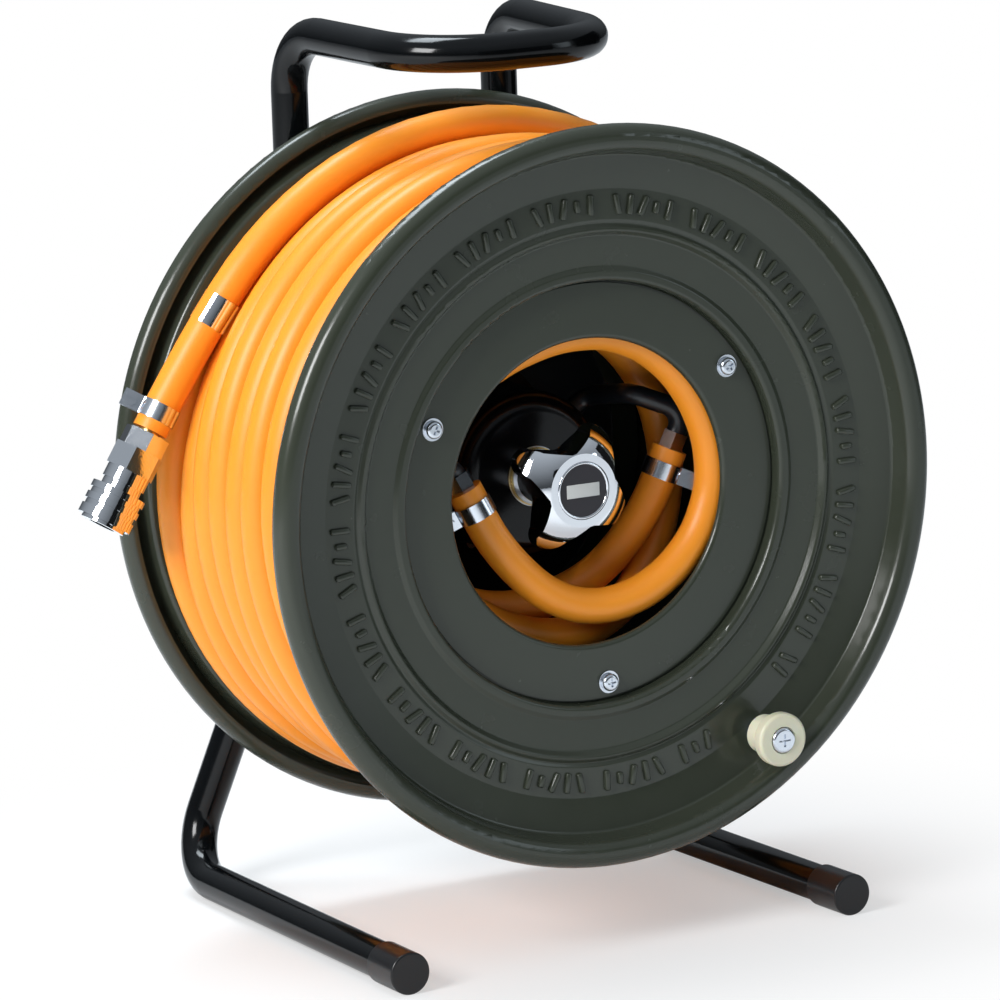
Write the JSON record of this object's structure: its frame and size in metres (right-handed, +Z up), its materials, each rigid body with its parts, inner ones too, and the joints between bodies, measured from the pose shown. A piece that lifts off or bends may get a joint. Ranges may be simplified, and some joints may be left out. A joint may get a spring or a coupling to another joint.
{
  "type": "hose reel",
  "caption": "Portable hose reel: sheet-metal drum with a hand knob on a bent-tube stand, wound with orange hose ending in a quick coupler.",
  "frame": {"origin": "on the floor under the middle of the reel, measured without the wound hose and its coupler", "axes": "+Z up, +Y from the drum's open face towards the stand's legs, +X to the right of someone who faces the open side"},
  "size_m": [0.3741, 0.2412, 0.418],
  "materials": {
    "frame_paint": "gloss black enamel",
    "bracket_paint": "black enamel",
    "cap_plastic": "black moulded cap",
    "drum_paint": "semi-gloss grey-green enamel",
    "hub_paint": "dark blue-grey enamel",
    "housing_paint": "gloss black enamel",
    "steel": "turned steel",
    "zinc": "bright zinc plate",
    "chrome": "polished chrome",
    "brass": "turned brass",
    "hose_rubber": "smooth orange hose",
    "seal_rubber": "black rubber",
    "knob_plastic": "ivory plastic",
    "badge": "dark badge with a bare pale panel"
  },
  "bodies": {
    "stand": {"frame_tube": "frame_paint", "foot_cap_left": "cap_plastic", "foot_cap_right": "cap_plastic", "axle_bracket": "bracket_paint", "axle": "steel", "axle_washer": "zinc", "axle_nut": "zinc", "inlet_plug": "zinc"},
    "drum": {"front_flange": "drum_paint", "rear_flange": "drum_paint", "drum_barrel": "drum_paint", "cover_ring": "drum_paint", "cover_washers": "zinc", "cover_screws": "zinc", "cover_nuts": "zinc", "hub_plate": "hub_paint", "hub_plate_washers": "zinc", "hub_plate_screws": "zinc", "hub_plate_nuts": "zinc", "housing_screws": "zinc", "hub_sleeve": "steel", "front_bush": "brass", "rear_bush": "brass", "shaft_seals": "seal_rubber", "hub_housing": "housing_paint", "crank_spacer": "zinc", "crank_spindle": "zinc", "crank_nut": "zinc", "hub_hose": "hose_rubber", "wall_pipe": "hub_paint", "delivery_pipe": "hub_paint", "wall_pipe_collar": "zinc", "delivery_pipe_collar": "zinc", "wall_boss": "steel", "hose_pile": "hose_rubber", "hose_tail": "hose_rubber", "hose_clip": "chrome", "tail_clamp": "zinc", "tail_clamp_screw": "zinc", "wall_clamp": "zinc", "wall_clamp_screw": "zinc", "port_clamp": "zinc", "port_clamp_screw": "zinc", "coupler_nut": "chrome", "coupler_barb": "brass", "coupler_body": "chrome", "coupler_balls": "steel", "coupler_ring": "chrome"},
    "brake_knob": {"brake_knob": "chrome", "knob_insert": "brass", "knob_badge": "badge", "spring_washer": "steel"},
    "crank_knob": {"crank_knob": "knob_plastic"},
    "coupler_sleeve": {"coupler_sleeve": "chrome"},
    "coupler_valve": {"coupler_valve": "brass"}
  },
  "joints": [
    {"name": "drum_spin", "type": "hinge", "parent": "stand", "child": "drum", "pos_m": [0, 0, 0.2099], "axis": [0, 1, 0], "continuous": true},
    {"name": "brake_knob_turn", "type": "hinge", "parent": "stand", "child": "brake_knob", "pos_m": [0, 0, 0.2099], "axis": [0, 1, 0], "range_deg": [-90, 90]},
    {"name": "crank_knob_spin", "type": "hinge", "parent": "drum", "child": "crank_knob", "pos_m": [0.08024, -0.10444, 0.08913], "axis": [0, 1, 0], "continuous": true},
    {"name": "coupler_sleeve_slide", "type": "slide", "parent": "drum", "child": "coupler_sleeve", "axis": [0.5373, 0, 0.8434], "range_m": [0, 0.003], "stiffness_N_per_m": 400},
    {"name": "coupler_valve_push", "type": "slide", "parent": "drum", "child": "coupler_valve", "axis": [0.5373, 0, 0.8434], "range_m": [0, 0.003], "stiffness_N_per_m": 300}
  ]
}
